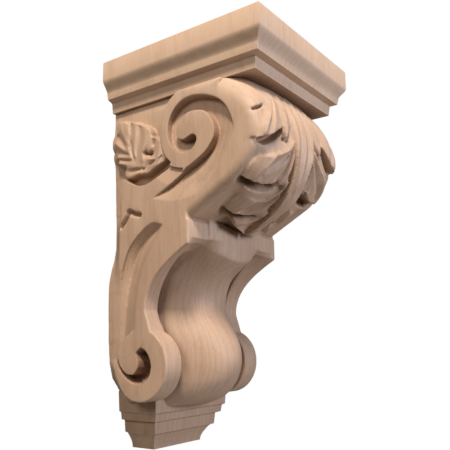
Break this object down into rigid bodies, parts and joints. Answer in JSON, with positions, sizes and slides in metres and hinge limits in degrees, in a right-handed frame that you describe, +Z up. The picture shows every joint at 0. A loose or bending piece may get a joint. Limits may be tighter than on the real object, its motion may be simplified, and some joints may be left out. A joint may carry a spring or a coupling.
{
  "type": "carved wooden corbel bracket",
  "caption": "Carved wooden corbel with a moulded cap, acanthus leaf, scroll volutes and a stepped foot, fixed by its flat back.",
  "frame": {"origin": "middle of the flat back face, halfway up and halfway across", "axes": "+Z up, +Y out of the back towards the wall, +X across the width; the carved front faces -Y"},
  "size_m": [0.16, 0.176, 0.3556],
  "materials": {
    "bare_cherry": "bare, finely sanded, unfinished"
  },
  "bodies": {
    "root": {"corbel": "bare_cherry"}
  },
  "joints": []
}
